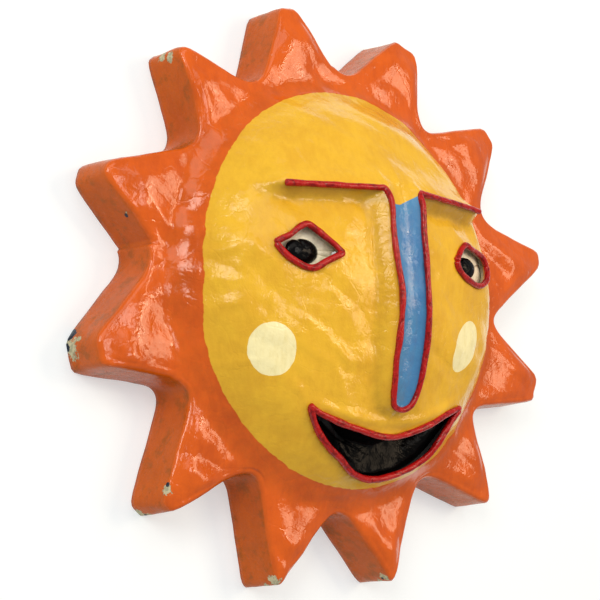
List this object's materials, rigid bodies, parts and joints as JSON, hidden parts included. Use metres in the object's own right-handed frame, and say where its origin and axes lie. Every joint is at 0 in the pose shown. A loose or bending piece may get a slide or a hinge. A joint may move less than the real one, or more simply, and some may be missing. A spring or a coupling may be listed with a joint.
{
  "type": "papier-mache sun mask",
  "caption": "Hollow papier-mache sun mask: a domed smiling face with raised brow and nose, framed eyes and mouth, in a ring of blunt hollow rays, open at the back",
  "frame": {"origin": "middle of the bounding box, in the plane of the back rim that the mask lies on", "axes": "+Z comes out of the face, +Y is the top of the face, +X is on the right of somebody who looks at it"},
  "size_m": [0.5874, 0.5625, 0.1417],
  "materials": {
    "shell_paint": "glossy orange and yellow enamel over papier-mache",
    "red_cord": "glossy red enamel on twisted paper cord",
    "cream_paint": "satin cream paint on papier-mache",
    "black_enamel": "glossy black enamel on papier-mache"
  },
  "bodies": {
    "root": {"mask_shell": "shell_paint", "brow_and_nose_cord": "red_cord", "left_eye_rim": "red_cord", "right_eye_rim": "red_cord", "mouth_rim": "red_cord", "left_eye_cup": "cream_paint", "right_eye_cup": "cream_paint", "left_pupil": "black_enamel", "right_pupil": "black_enamel", "mouth_lining": "black_enamel"}
  },
  "joints": []
}
